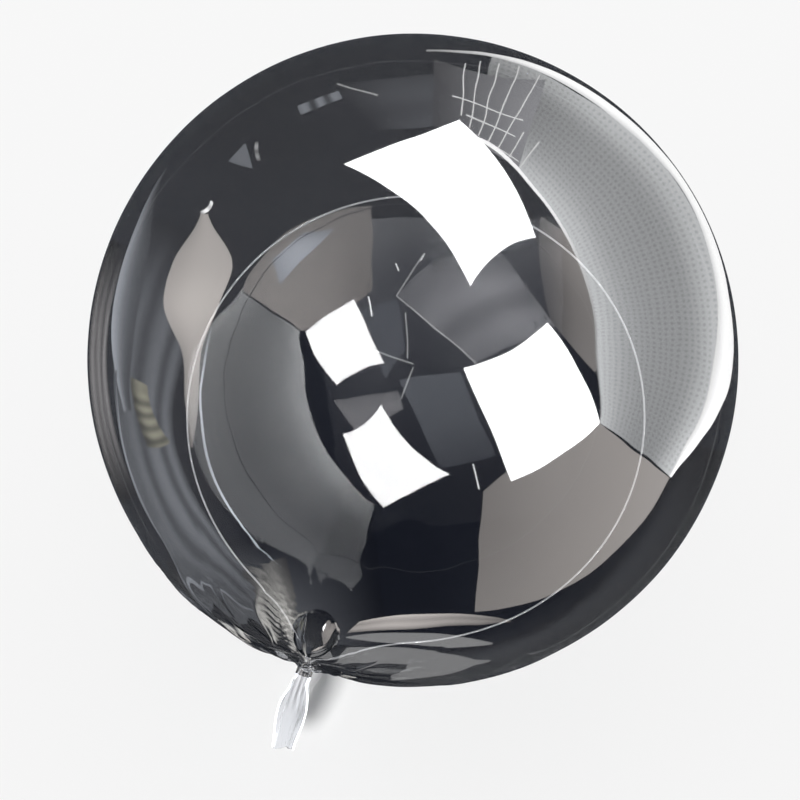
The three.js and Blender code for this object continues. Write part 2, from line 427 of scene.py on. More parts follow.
def begin_edit(piece: bpy.types.Object) -> bmesh.types.BMesh:
    """Open a piece in edit mode and give its edit mesh.

    Args:
        piece: The piece.

    Returns:
        Its edit mesh.
    """
    bpy.context.view_layer.objects.active = piece
    bpy.ops.object.mode_set(mode="EDIT")
    return bmesh.from_edit_mesh(piece.data)


def select_vertices(mesh: bmesh.types.BMesh, wanted: list[bmesh.types.BMVert]) -> None:
    """Select these vertices and what lies between them, and nothing else.

    Args:
        mesh: The edit mesh.
        wanted: The vertices.
    """
    bpy.ops.mesh.select_all(action="DESELECT")
    for vertex in wanted:
        vertex.select = True
    mesh.select_flush(True)


@dataclass
class FilmSkin:
    """The film envelope's skin, from the far side of the bubble to the stem's cut end."""

    form: FilmForm
    columns: int = 384
    rings: int = 204
    first_ring: float = 0.35
    stem_rows: int = 38
    crowding: float = 0.5
    pole_share: float = 0.999999
    spot_inset: float = 0.0025
    spot_height: float = 1e-6

    def _ring_distance(self, polar: float) -> float:
        """Give the film distance of a ring, so that rings crowd together near the neck.

        Args:
            polar: The ring's angle from the ball's top pole.

        Returns:
            The distance from the pinch along the film.
        """
        share = max(0.0, (polar * self.rings / math.pi - 1) / (self.rings - 1))
        eased = self.first_ring * share + (1 - self.first_ring) * share**3
        return eased * self.form.far_pole

    def _column_turn(self, turn: float) -> float:
        """Give the turn of a column, so that columns crowd together at the puff."""
        return turn - self.crowding * math.sin(turn - self.form.puff.turn)

    def _start_from_sphere(self) -> bpy.types.Object:
        """Add the ball that the film is shaped from, with its top pole at the neck.

        Returns:
            The ball, which is the whole selection.
        """
        deselect_all()
        bpy.ops.mesh.primitive_uv_sphere_add(
            segments=self.columns, ring_count=self.rings, radius=self.form.axes.radius
        )
        piece = bpy.context.object
        piece.name = "film_envelope"
        piece.data.name = "film_envelope"
        return piece

    def _shape_bubble(self, piece: bpy.types.Object) -> None:
        """Open the ball at the neck and move its rings onto the gathered film.

        Args:
            piece: The ball.
        """
        mesh = begin_edit(piece)
        radius = self.form.axes.radius
        place_layer = mesh.verts.layers.float_vector.new("film_place")
        select_vertices(mesh, [v for v in mesh.verts if v.co.z > radius * self.pole_share])
        bpy.ops.mesh.delete(type="VERT")
        mesh = bmesh.from_edit_mesh(piece.data)
        for vertex in mesh.verts:
            polar = math.acos(min(max(vertex.co.z / radius, -1.0), 1.0))
            turn = self._column_turn(math.atan2(vertex.co.y, vertex.co.x))
            distance = self._ring_distance(polar)
            vertex[place_layer] = (math.cos(turn), math.sin(turn), distance)
            vertex.co = self.form.point(distance, turn)
        bmesh.update_edit_mesh(piece.data)

    def _draw_out_stem(self, piece: bpy.types.Object) -> None:
        """Extrude the neck's open rim row by row into the bunched neck and the stem.

        Args:
            piece: The skin, open at the neck and in edit mode.
        """
        mesh = bmesh.from_edit_mesh(piece.data)
        rim = [v for v in mesh.verts if v.is_boundary]
        select_vertices(mesh, rim)
        for row in range(1, self.stem_rows + 1):
            bpy.ops.mesh.extrude_edges_move()
            mesh = bmesh.from_edit_mesh(piece.data)
            place_layer = mesh.verts.layers.float_vector["film_place"]
            distance = -self.form.stem_length * row / self.stem_rows
            for vertex in [v for v in mesh.verts if v.select]:
                turned = vertex[place_layer]
                vertex[place_layer] = (turned.x, turned.y, distance)
                vertex.co = self.form.point(distance, math.atan2(turned.y, turned.x))
        bmesh.update_edit_mesh(piece.data)
        bpy.ops.mesh.edge_face_add()

    def _rest_on_floor(self, piece: bpy.types.Object) -> None:
        """Cut the flat spot that the bubble rests on, and give it a crisp rim.

        Args:
            piece: The closed skin, in edit mode.
        """
        bpy.ops.mesh.select_all(action="SELECT")
        bpy.ops.mesh.bisect(
            plane_co=(0, 0, 0), plane_no=(0, 0, 1), use_fill=True, clear_inner=True
        )
        mesh = bmesh.from_edit_mesh(piece.data)
        bpy.ops.mesh.select_all(action="DESELECT")
        for face in mesh.faces:
            face.select = all(abs(v.co.z) < self.spot_height for v in face.verts)
        bpy.ops.mesh.inset(thickness=self.spot_inset)
        bpy.ops.mesh.select_all(action="SELECT")
        bpy.ops.mesh.normals_make_consistent(inside=False)
        bpy.ops.object.mode_set(mode="OBJECT")

    def _zone_faces(self, piece: bpy.types.Object) -> None:
        """Give the stem's faces their own material index.

        Args:
            piece: The finished skin.
        """
        places = piece.data.attributes["film_place"].data
        for polygon in piece.data.polygons:
            reach = max(places[v].vector[2] for v in polygon.vertices)
            stem = reach <= -self.form.pinch_length * 0.5
            polygon.material_index = (Zone.STEM if stem else Zone.BUBBLE).value

    def build(self) -> bpy.types.Object:
        """Model the whole skin.

        Returns:
            The finished piece, at the origin, with its place in its mesh.
        """
        piece = self._start_from_sphere()
        self._shape_bubble(piece)
        self._draw_out_stem(piece)
        self._rest_on_floor(piece)
        self._zone_faces(piece)
        bpy.ops.object.shade_smooth()
        return piece


@dataclass
class WeldSeam:
    """The weld between the film's two panels, a thin raised line round the back of the bubble."""

    form: FilmForm
    ring_angle: float = math.radians(59.8)
    drop: float = math.radians(6.5)
    aside: float = math.radians(6.7)
    cusp_width: float = math.radians(6.7)
    half_width: float = 0.00125
    height: float = 0.0008
    part: float = 0.7
    neck_gap: float = 0.006
    steps: int = 420
    stem_steps: int = 40
    sides: int = 8

    def _place(self, share: float) -> tuple[float, float]:
        """Give the weld's distance and turn on the film, a share of the way round its ring.

        Args:
            share: The share of the way round, from the neck back to the neck.

        Returns:
            The distance from the pinch along the film, and the angle round the neck's axis.
        """
        axes = self.form.axes
        middle = (
            axes.face * (-math.cos(self.drop) * math.cos(self.aside))
            + axes.across * (math.cos(self.drop) * math.sin(self.aside))
            + axes.neck * math.sin(self.drop)
        )
        down = (axes.neck - axes.neck.dot(middle) * middle).normalized()
        beside = middle.cross(down)
        round_angle = math.pi * (1 - math.cos(math.pi * share))
        near = min(round_angle, 2 * math.pi - round_angle)
        angle = between(self.ring_angle, axes.neck.angle(middle), math.exp(-near / self.cusp_width))
        ring = down * math.cos(round_angle) + beside * math.sin(round_angle)
        direction = middle * math.cos(angle) + ring * math.sin(angle)
        from_neck = direction.angle(axes.neck)
        turn = math.atan2(direction.dot(axes.face), direction.dot(axes.across))
        if from_neck < self.form.shoulder_angle:
            return self.form.shoulder_length * from_neck / self.form.shoulder_angle, turn
        beyond = (from_neck - self.form.shoulder_angle) * axes.radius
        return self.form.shoulder_length + beyond, turn

    def _stem_line(self, side: int) -> list[tuple[Vector, Vector]]:
        """Give the weld's points and outward directions along one edge of the stem.

        Args:
            side: -1 for the one edge and 1 for the other.

        Returns:
            The points, from the pinch to the stem's end, with their directions.
        """
        line = []
        opened = self.form.pinch_length + self.form.fan_length * 0.5
        for step in range(self.stem_steps + 1):
            distance = self.form.stem_length * step / self.stem_steps
            spread = between(self.part, math.pi / 2, ramp(distance, 0.0, opened))
            point = self.form.point(-distance, -math.pi / 2 + side * spread)
            middle, _, _, _ = self.form.stem_frame(distance)
            line.append((point, (point - middle).normalized()))
        return line

    def _ring_line(self) -> list[tuple[Vector, Vector]]:
        """Give the weld's points and outward directions round the bubble.

        Returns:
            The points, from the neck round and back to it, with their directions.
        """
        line = []
        for step in range(1, self.steps):
            distance, turn = self._place(step / self.steps)
            if distance > self.neck_gap:
                point = self.form.point(distance, turn)
                line.append((point, (point - self.form.axes.centre).normalized()))
        return line

    def _sections(self) -> list[list[Vector]]:
        """Give the bead's cross-sections, from one edge of the stem's end to the other.

        Returns:
            The corners of each section, in order round the bead.
        """
        line = self._stem_line(-1)[::-1] + self._ring_line() + self._stem_line(1)
        sections = []
        for index, (point, outward) in enumerate(line):
            ahead = line[min(index + 1, len(line) - 1)][0]
            along = (ahead - line[max(index - 1, 0)][0]).normalized()
            across = along.cross(outward).normalized()
            out = across.cross(along)
            turns = [2 * math.pi * side / self.sides for side in range(self.sides)]
            sections.append(
                [
                    point + across * self.half_width * math.cos(t) + out * self.height * math.sin(t)
                    for t in turns
                ]
            )
        return sections

    def build(self) -> bpy.types.Object:
        """Model the weld as a flat bead, extruded along its line.

        Returns:
            The finished piece, at the origin.
        """
        sections = self._sections()
        deselect_all()
        bpy.ops.mesh.primitive_circle_add(
            vertices=self.sides, radius=self.half_width, fill_type="NGON"
        )
        piece = bpy.context.object
        piece.name = "weld_seam"
        piece.data.name = "weld_seam"
        mesh = begin_edit(piece)
        corner = mesh.verts.layers.int.new("corner")
        in_order = sorted(mesh.verts, key=lambda v: math.atan2(v.co.y, v.co.x))
        for index, vertex in enumerate(in_order):
            vertex[corner] = index
            vertex.co = sections[0][index]
        bpy.ops.mesh.select_all(action="SELECT")
        for section in sections[1:]:
            bpy.ops.mesh.extrude_region_move()
            mesh = bmesh.from_edit_mesh(piece.data)
            corner = mesh.verts.layers.int["corner"]
            for vertex in [v for v in mesh.verts if v.select]:
                vertex.co = section[vertex[corner]]
        bmesh.update_edit_mesh(piece.data)
        bpy.ops.mesh.select_all(action="SELECT")
        bpy.ops.mesh.normals_make_consistent(inside=False)
        bpy.ops.object.mode_set(mode="OBJECT")
        bpy.ops.object.shade_smooth()
        return piece


Colour = tuple[float, float, float, float]


def opaque(red: float, green: float, blue: float) -> Colour:
    """Give an opaque colour."""
    return (red, green, blue, 1.0)


def add_node(
    tree: bpy.types.NodeTree, kind: str, inputs: dict[str, float | Colour] | None = None
) -> bpy.types.Node:
    """Add a shader node and set its inputs.

    Args:
        tree: The material's or the world's nodes.
        kind: What the node's type is called after "ShaderNode".
        inputs: The values of its inputs, by name.

    Returns:
        The node.
    """
    node = tree.nodes.new(f"ShaderNode{kind}")
    for name, value in (inputs or {}).items():
        node.inputs[name].default_value = value
    return node


def times(
    tree: bpy.types.NodeTree, one: bpy.types.NodeSocket, other: bpy.types.NodeSocket
) -> bpy.types.NodeSocket:
    """Multiply two numbers in a node tree.

    Args:
        tree: The nodes.
        one: The first number.
        other: The second number.

    Returns:
        The product.
    """
    product = add_node(tree, "Math")
    product.operation = "MULTIPLY"
    tree.links.new(one, product.inputs[0])
    tree.links.new(other, product.inputs[1])
    return product.outputs[0]


def step_at_two(
    tree: bpy.types.NodeTree, count: bpy.types.NodeSocket, low: float, high: float
) -> bpy.types.NodeSocket:
    """Give one number for counts up to 1, and another for counts from 2 on.

    Args:
        tree: The nodes.
        count: How many surfaces the ray has met or passed.
        low: The number for counts up to 1.
        high: The number for counts from 2 on.

    Returns:
        The number.
    """
    ends = {"From Min": 1.0, "From Max": 2.0, "To Min": low, "To Max": high}
    step = add_node(tree, "MapRange", ends)
    tree.links.new(count, step.inputs["Value"])
    return step.outputs["Result"]


@dataclass(frozen=True)
class FilmFinishAndPaintedLight:
    """Glossy see-through stretch film, with faint clouding and fine creases, and a glow that, above
    0, is a painted glow.
    """

    name: str
    deep: Colour
    light: Colour
    alpha: float
    roughness: float
    specular: float = 1.0
    transmission: float = 0.0
    ior: float = 1.5
    cloud_scale: float = 7.0
    cloud_edges: tuple[float, float] = (0.35, 0.70)
    # glow above 0 makes the film give off light in its light colour: a painted glow, on a surface
    # that is no lamp.
    glow: float = 0.0
    crease_scale: float = 14.0
    crease_reach: float = 0.12
    crease_height: float = 0.0004

    def material(self) -> bpy.types.Material:
        """Make the node material.

        Returns:
            The material, with its shader's plain values on the shader's own sockets.
        """
        material = bpy.data.materials.new(self.name)
        material.use_nodes = True
        tree = material.node_tree
        shader = tree.nodes["Principled BSDF"]
        for socket, value in (
            ("Roughness", self.roughness),
            ("Alpha", self.alpha),
            ("IOR", self.ior),
            ("Transmission Weight", self.transmission),
            ("Specular IOR Level", self.specular),
            # The emission is a painted glow where glow is above 0: light given off by a surface
            # that is no lamp.
            ("Emission Color", self.light),
            ("Emission Strength", self.glow),
        ):
            shader.inputs[socket].default_value = value
        self._cloud(tree, shader)
        self._crease(tree, shader)
        return material

    def _cloud(self, tree: bpy.types.NodeTree, shader: bpy.types.Node) -> None:
        """Cloud the film's tint.

        Args:
            tree: The material's nodes.
            shader: The material's shader.
        """
        place = add_node(tree, "TexCoord")
        cloud = add_node(tree, "TexNoise", {"Scale": self.cloud_scale, "Detail": 4.0})
        shade = add_node(tree, "ValToRGB")
        deep, light = shade.color_ramp.elements
        deep.position, light.position = self.cloud_edges
        deep.color = self.deep
        light.color = self.light
        tree.links.new(place.outputs["Object"], cloud.inputs["Vector"])
        tree.links.new(cloud.outputs["Fac"], shade.inputs["Fac"])
        tree.links.new(shade.outputs["Color"], shader.inputs["Base Color"])

    def _crease(self, tree: bpy.types.NodeTree, shader: bpy.types.Node) -> None:
        """Crease the film finely where it is gathered, and leave it smooth further out.

        Args:
            tree: The material's nodes.
            shader: The material's shader.
        """
        place = add_node(tree, "Attribute")
        place.attribute_name = "film_place"
        crease = add_node(tree, "TexNoise", {"Scale": self.crease_scale, "Detail": 5.0})
        parts = add_node(tree, "SeparateXYZ")
        fade = add_node(tree, "MapRange", {"From Min": self.crease_reach, "From Max": 0.0})
        bump = add_node(tree, "Bump", {"Distance": self.crease_height})
        tree.links.new(place.outputs["Vector"], crease.inputs["Vector"])
        tree.links.new(place.outputs["Vector"], parts.inputs["Vector"])
        tree.links.new(parts.outputs["Z"], fade.inputs["Value"])
        deep = times(tree, crease.outputs["Fac"], fade.outputs["Result"])
        tree.links.new(deep, bump.inputs["Height"])
        tree.links.new(bump.outputs["Normal"], shader.inputs["Normal"])


# The bubble's film is tinted near-black, with alpha 0.82: painted shade, standing in for the dark
# room that shows through the clear film.
PAINTED_SHADE_FILM = FilmFinishAndPaintedLight(
    name="smoke_film",
    deep=opaque(0.005, 0.006, 0.010),
    light=opaque(0.012, 0.014, 0.020),
    alpha=0.82,
    roughness=0.03,
)
STEM_FILM = FilmFinishAndPaintedLight(
    name="stem_film",
    deep=opaque(0.86, 0.88, 0.92),
    light=opaque(0.97, 0.97, 0.98),
    alpha=1.0,
    roughness=0.05,
    specular=0.5,
    transmission=1.0,
    ior=1.12,
    crease_reach=0.09,
    crease_height=0.0008,
)
# The weld gives off light (glow 1.7, in its light colour): a painted glow, so that it shows as a
# bright line though it is no lamp.
WELD_FILM_WITH_PAINTED_GLOW = FilmFinishAndPaintedLight(
    name="weld_film_painted_glow",
    deep=opaque(0.60, 0.61, 0.63),
    light=opaque(0.85, 0.86, 0.88),
    alpha=0.80,
    roughness=0.22,
    cloud_scale=30.0,
    glow=1.7,
)


@dataclass
class Balloon:
    """The bubble balloon: its film skin and its weld."""

    form: FilmForm

    def build(self) -> list[bpy.types.Object]:
        """Model and dress the balloon's pieces.

        Returns:
            The pieces, in the order they were made.
        """
        skin = FilmSkin(self.form).build()
        skin.data.materials.append(PAINTED_SHADE_FILM.material())
        skin.data.materials.append(STEM_FILM.material())
        weld = WeldSeam(self.form).build()
        weld.data.materials.append(WELD_FILM_WITH_PAINTED_GLOW.material())
        for piece in (skin, weld):
            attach(piece, BODY)
            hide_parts(NODE)
        return [skin, weld]


Spot = tuple[float, float]
Tint = tuple[float, float, float]
WHITE: Tint = (1.0, 1.0, 1.0)
COOL: Tint = (0.86, 0.91, 1.0)
WARM: Tint = (1.0, 0.93, 0.88)


class Skin(Enum):
    """The side of the bubble that a card's mirror image shows on."""

    NEAR = "near"
    FAR = "far"


@dataclass(frozen=True)
class View:
    """The camera's place, the lines of sight from it and how the bubble mirrors them."""

    axes: NeckFrame
    elevation: float = math.radians(44)
    distances: float = 3.0
    lens: float = 41.4
    aim: Spot = (-0.036, -0.118)

    @property
    def right(self) -> Vector:
        """The way to the camera's right."""
        return Vector((1, 0, 0))

    @property
    def up(self) -> Vector:
        """The way up as the camera sees it."""
        return Vector((0, math.sin(self.elevation), math.cos(self.elevation)))

    @property
    def towards(self) -> Vector:
        """The way from the bubble's middle to the camera."""
        return Vector((0, -math.cos(self.elevation), math.sin(self.elevation)))

    @property
    def eye(self) -> Vector:
        """The camera's place."""
        return self.axes.centre + self.towards * self.axes.radius * self.distances

    def place(self, spot: Spot) -> Vector:
        """Give the point at a spot, in bubble radii, on the plane through the bubble's middle."""
        way = self.right * spot[0] + self.up * spot[1]
        return self.axes.centre + way * self.axes.radius

    def mirrored(self, spot: Spot, skin: Skin) -> tuple[Vector, Vector, float]:
        """Follow the line of sight through a spot to the bubble, which mirrors it.

        Args:
            spot: Where the line of sight passes the bubble's middle plane.
            skin: The side of the bubble that mirrors it.

        Returns:
            The point on the bubble, the mirrored direction and the cosine of the angle
            at which the line of sight meets the film.
        """
        look = (self.place(spot) - self.eye).normalized()
        offset = self.eye - self.axes.centre
        nearest = -offset.dot(look)
        half_square = nearest**2 - offset.length_squared + self.axes.radius**2
        half = math.sqrt(max(half_square, 0.0))
        point = self.eye + look * (nearest - half if skin is Skin.NEAR else nearest + half)
        normal = (point - self.axes.centre).normalized()
        return point, look - 2 * look.dot(normal) * normal, abs(look.dot(normal))

    def place_camera(self) -> None:
        """Make the scene's camera, looking down at the balloon."""
        data = bpy.data.cameras.new("camera")
        data.lens = self.lens
        camera = bpy.data.objects.new("camera", data)
        bpy.context.scene.collection.objects.link(camera)
        camera.location = self.eye
        look = self.place(self.aim) - self.eye
        camera.rotation_mode = "QUATERNION"
        camera.rotation_quaternion = look.to_track_quat("-Z", "Y")
        bpy.context.scene.camera = camera


@dataclass(frozen=True)
class Patch:
    """A four-cornered outline with bowed sides, in bubble radii as the camera sees it.

    The corners run round from the start of both shares. A bow is the share of a side's
    length by which its middle stands out to the left of the way from start to end.
    """

    corners: tuple[Spot, Spot, Spot, Spot]
    bows: tuple[float, float, float, float] = (0.0, 0.0, 0.0, 0.0)

    def _side(self, start: Spot, end: Spot, bow: float, share: float) -> Spot:
        """Give a point on a bowed side.

        Args:
            start: One corner.
            end: The next corner.
            bow: How far the side's middle stands out.
            share: The share of the way from start to end.

        Returns:
            The point's spot.
        """
        way = (end[0] - start[0], end[1] - start[1])
        lift = bow * 4 * share * (1 - share)
        return (
            start[0] + way[0] * share - way[1] * lift,
            start[1] + way[1] * share + way[0] * lift,
        )

    def spot(self, u: float, v: float) -> Spot:
        """Give the spot a share u along and a share v across the patch.

        Args:
            u: The share along, from the first corner to the second.
            v: The share across, from the first corner to the last.

        Returns:
            The spot.
        """
        a, b, c, d = self.corners
        low = self._side(a, b, self.bows[0], u)
        high = self._side(d, c, self.bows[2], u)
        left = self._side(a, d, self.bows[3], v)
        right = self._side(b, c, self.bows[1], v)
        flat = [
            between(between(a[i], b[i], u), between(d[i], c[i], u), v) for i in (0, 1)
        ]
        return tuple(
            between(low[i], high[i], v) + between(left[i], right[i], u) - flat[i] for i in (0, 1)
        )


@dataclass(frozen=True)
class Band:
    """A curved band round the bubble's middle, between two lines of radii at even angles."""

    start: float
    end: float
    inner: tuple[float, ...]
    outer: tuple[float, ...]
    lean: float = 0.0

    def spot(self, u: float, v: float) -> Spot:
        """Give the spot a share u round and a share v outwards.

        Args:
            u: The share of the way from start to end.
            v: The share of the way from the inner line to the outer.

        Returns:
            The spot.
        """
        angle = math.radians(between(self.start, self.end, u) + self.lean * u * v)
        radius = between(read_stations(self.inner, u), read_stations(self.outer, u), v)
        return radius * math.cos(angle), radius * math.sin(angle)


@dataclass(frozen=True)
class Streak:
    """An upright streak between two edges, each a row of places at even heights."""

    low: float
    high: float
    left: tuple[float, ...]
    right: tuple[float, ...]

    def spot(self, u: float, v: float) -> Spot:
        """Give the spot a share u across and a share v up the streak."""
        across = between(read_stations(self.left, v), read_stations(self.right, v), u)
        return across, between(self.low, self.high, v)


def read_stations(stations: tuple[float, ...], share: float) -> float:
    """Read a smooth line through a row of evenly spaced values, at a share of the way along.

    Args:
        stations: The values.
        share: The share of the way, from 0 to 1.

    Returns:
        The value there.
    """
    last = len(stations) - 1
    index = min(int(share * last), max(last - 1, 0))
    part = share * last - index
    before, start, end, after = (
        stations[min(max(index + step, 0), last)] for step in (-1, 0, 1, 2)
    )
    rise, fall = (end - before) / 2, (after - start) / 2
    even = 2 * part**3 - 3 * part**2
    return (
        start * (1 + even)
        - end * even
        + rise * (part**3 - 2 * part**2 + part)
        + fall * (part**3 - part**2)
    )


def stroke(start: Spot, end: Spot, width: float, bow: float = 0.0) -> Patch:
    """Give the patch of a thin line from one spot to another.

    Args:
        start: Where the line starts.
        end: Where it ends.
        width: How wide it is.
        bow: How far its middle stands out, as a share of its length.

    Returns:
        The patch.
    """
    way = (end[0] - start[0], end[1] - start[1])
    length = math.hypot(*way)
    aside = (-way[1] / length * width / 2, way[0] / length * width / 2)
    return Patch(
        (
            (start[0] - aside[0], start[1] - aside[1]),
            (end[0] - aside[0], end[1] - aside[1]),
            (end[0] + aside[0], end[1] + aside[1]),
            (start[0] + aside[0], start[1] + aside[1]),
        ),
        (bow, 0.0, bow, 0.0),
    )


@dataclass(frozen=True)
class Card:
    """A lit card or wall round the set, placed by where the film shows its image.

    It stands on a wide dome round the balloon, where the mirrored lines of sight meet it,
    and the camera sees nothing of it but what the film mirrors. The near skin shows it once,
    and the far skin shows it upside down through the film and its painted shade tint, so the
    light that comes through the film has a level of its own. Sizes are in bubble radii.
    """

    name: str
    shape: Patch | Band | Streak
    near: float = 0.0
    far: float = 0.0
    tint: Tint = WHITE
    along: tuple[float, ...] = (1.0,)
    across: tuple[float, ...] = (1.0,)
    layer: int = 0
    grid: tuple[int, int] = (24, 24)
    dots: tuple[float, float] | None = None
    dome: float = 4.0
    layer_gap: float = 0.2
    head_on: float = 0.08

    @property
    def skin(self) -> Skin:
        """The skin that the card's shape is drawn on: the far one where only that shows it."""
        return Skin.NEAR if self.near else Skin.FAR

    def _stand(self, view: View, spot: Spot) -> tuple[Vector, float]:
        """Follow a spot's mirrored line of sight out to the dome.

        Args:
            view: The lines of sight.
            spot: The spot on the film.

        Returns:
            The place on the dome, and the share of its light that the film mirrors.
        """
        point, way, slant = view.mirrored(spot, self.skin)
        offset = point - view.axes.centre
        nearest = -offset.dot(way)
        radius = (self.dome - self.layer_gap * self.layer) * view.axes.radius
        half = math.sqrt(max(nearest**2 - offset.length_squared + radius**2, 0.0))
        mirrors = self.head_on + (1 - self.head_on) * (1 - slant) ** 5
        return point + way * (nearest + half), mirrors * PAINTED_SHADE_FILM.alpha

    def build(self, view: View) -> None:
        """Make the card where the view puts it.

        Args:
            view: The lines of sight that the card's place is worked out from.
        """
        deselect_all()
        bpy.ops.mesh.primitive_grid_add(
            x_subdivisions=self.grid[0], y_subdivisions=self.grid[1], size=1.0
        )
        piece = bpy.context.object
        piece.name = self.name
        glow = piece.data.attributes.new("glow", "FLOAT", "POINT")
        for index, vertex in enumerate(piece.data.vertices):
            u, v = vertex.co.x + 0.5, vertex.co.y + 0.5
            place, mirrored = self._stand(view, self.shape.spot(u, v))
            shade = read_stations(self.along, u) * read_stations(self.across, v)
            vertex.co = place
            glow.data[index].value = max(shade, 0.0) / mirrored
        piece.data.materials.append(self._material())
        set_seen_by(piece, SeenBy.REFLECTIONS)

    def _material(self) -> bpy.types.Material:
        """Make the card's light, and leave out the images that it has no level for.

        Returns:
            The material.
        """
        material = bpy.data.materials.new(self.name)
        material.use_nodes = True
        material.cycles.emission_sampling = "NONE"
        tree = material.node_tree
        tree.nodes.clear()
        glow = add_node(tree, "Attribute")
        glow.attribute_name = "glow"
        light = add_node(tree, "Emission", {"Color": opaque(*self.tint)})
        path = add_node(tree, "LightPath")
        films = path.outputs["Transparent Depth"]
        passed = (1 - PAINTED_SHADE_FILM.alpha) ** 2
        level = step_at_two(tree, films, self.near, self.far / passed)
        once = step_at_two(tree, path.outputs["Ray Depth"], 1.0, 0.0)
        strength = times(tree, times(tree, glow.outputs["Fac"], level), once)
        if self.dots:
            strength = self._dotted(tree, strength)
        hidden = step_at_two(tree, films, float(not self.near), float(not self.far))
        clear = add_node(tree, "BsdfTransparent")
        choose = add_node(tree, "MixShader")
        out = add_node(tree, "OutputMaterial")
        tree.links.new(strength, light.inputs["Strength"])
        tree.links.new(hidden, choose.inputs["Fac"])
        tree.links.new(light.outputs[0], choose.inputs[1])
        tree.links.new(clear.outputs[0], choose.inputs[2])
        tree.links.new(choose.outputs[0], out.inputs["Surface"])
        return material

    def _dotted(
        self, tree: bpy.types.NodeTree, strength: bpy.types.NodeSocket
    ) -> bpy.types.NodeSocket:
        """Dot the light like a perforated board.

        Args:
            tree: The card's nodes.
            strength: The light's strength without the dots.

        Returns:
            The dotted strength.
        """
        place = add_node(tree, "TexCoord")
        spread = add_node(tree, "Mapping", {"Scale": (*self.dots, 1.0)})
        holes = add_node(tree, "TexVoronoi", {"Scale": 1.0, "Randomness": 0.12})
        ends = {"From Min": 0.18, "From Max": 0.34, "To Min": 0.80, "To Max": 1.02}
        shade = add_node(tree, "MapRange", ends)
        tree.links.new(place.outputs["UV"], spread.inputs["Vector"])
        tree.links.new(spread.outputs["Vector"], holes.inputs["Vector"])
        tree.links.new(holes.outputs["Distance"], shade.inputs["Value"])
        return times(tree, shade.outputs["Result"], strength)


def set_seen_by(thing: bpy.types.Object, seen_by: SeenBy) -> None:
    """Limit which rays meet a thing on the set.

    Args:
        thing: A card, a lamp or the floor.
        seen_by: What is to meet it.
    """
    reflections = seen_by is not SeenBy.ALL_BUT_REFLECTIONS
    others = seen_by is not SeenBy.REFLECTIONS
    thing.visible_glossy = reflections
    thing.visible_camera = others
    thing.visible_diffuse = others
    thing.visible_transmission = others
    thing.visible_volume_scatter = others
    thing.visible_shadow = others


SOFTBOXES = (
    Card(
        "softbox_top",
        Patch(
            ((-0.225, 0.643), (0.193, 0.251), (0.398, 0.418), (0.144, 0.790)),
            (0.09, 0.13, 0.07, 0.0),
        ),
        near=1.6, far=1.0, layer=3,
    ),
    Card(
        "softbox_side",
        Patch(
            ((0.170, -0.007), (0.336, -0.379), (0.617, -0.183), (0.437, 0.137)),
            (0.0, -0.05, 0.06, -0.07),
        ),
        near=1.6, far=1.0, layer=3,
    ),
)
WALLS = (
    Card(
        "wall_right",
        Band(
            76.0, -16.5,
            inner=(0.770, 0.700, 0.648, 0.622, 0.607, 0.643),
            outer=(1.030, 1.019, 1.034, 1.025, 1.000, 0.917),
            lean=-6.3,
        ),
        near=0.24, far=0.135, tint=(0.97, 0.99, 1.0),
        along=(0.60, 1.0, 1.0, 1.05, 1.05), across=(1.95, 1.2, 0.88, 0.95, 1.9),
        grid=(96, 48), dots=(84.0, 20.0),
    ),
    Card(
        "panel_right",
        Patch(
            ((0.410, 0.480), (0.450, 0.140), (0.600, -0.020), (0.600, 0.370)),
            (-0.05, 0.0, 0.10, 0.0),
        ),
        near=0.17, tint=WARM, along=(1.3, 0.9, 0.8), across=(0.3, 0.9, 1.2), dome=4.3,
    ),
    Card(
        "wall_edge",
        Band(
            88.0, -22.8,
            inner=(1.005, 1.024, 1.021, 1.036, 1.013, 0.968, 0.915),
            outer=(1.010, 1.040, 1.052, 1.058, 1.052, 1.030, 0.925),
        ),
        near=0.95, along=(0.3, 1.0, 1.0, 1.0, 1.0, 1.0), across=(0.65, 1.0, 1.0),
        grid=(120, 12), layer=1,
    ),
    Card(
        "screen_low_right",
        Patch(
            ((0.215, -0.816), (0.845, -0.359), (0.617, -0.183), (0.235, -0.418)),
            (-0.143, 0.0, 0.05, 0.0),
        ),
        near=0.25, far=0.20, tint=WARM, along=(0.62, 0.85, 1.0), grid=(40, 40), layer=1,
    ),
    Card(
        "window_upper",
        Patch(
            ((0.062, 0.770), (0.336, 0.627), (0.420, 0.920), (0.062, 0.985)),
            (0.05, 0.0, -0.06, 0.0),
        ),
        near=0.15, tint=(0.95, 0.95, 1.0), along=(0.2, 0.7, 1.2), layer=1,
    ),
    Card(
        "screen_upper",
        Patch(((-0.117, 0.747), (0.062, 0.768), (0.062, 0.930), (-0.264, 0.902))),
        near=0.03, tint=COOL, along=(0.3, 1.0, 1.3), across=(1.2, 0.8, 1.1, 0.7),
    ),
)
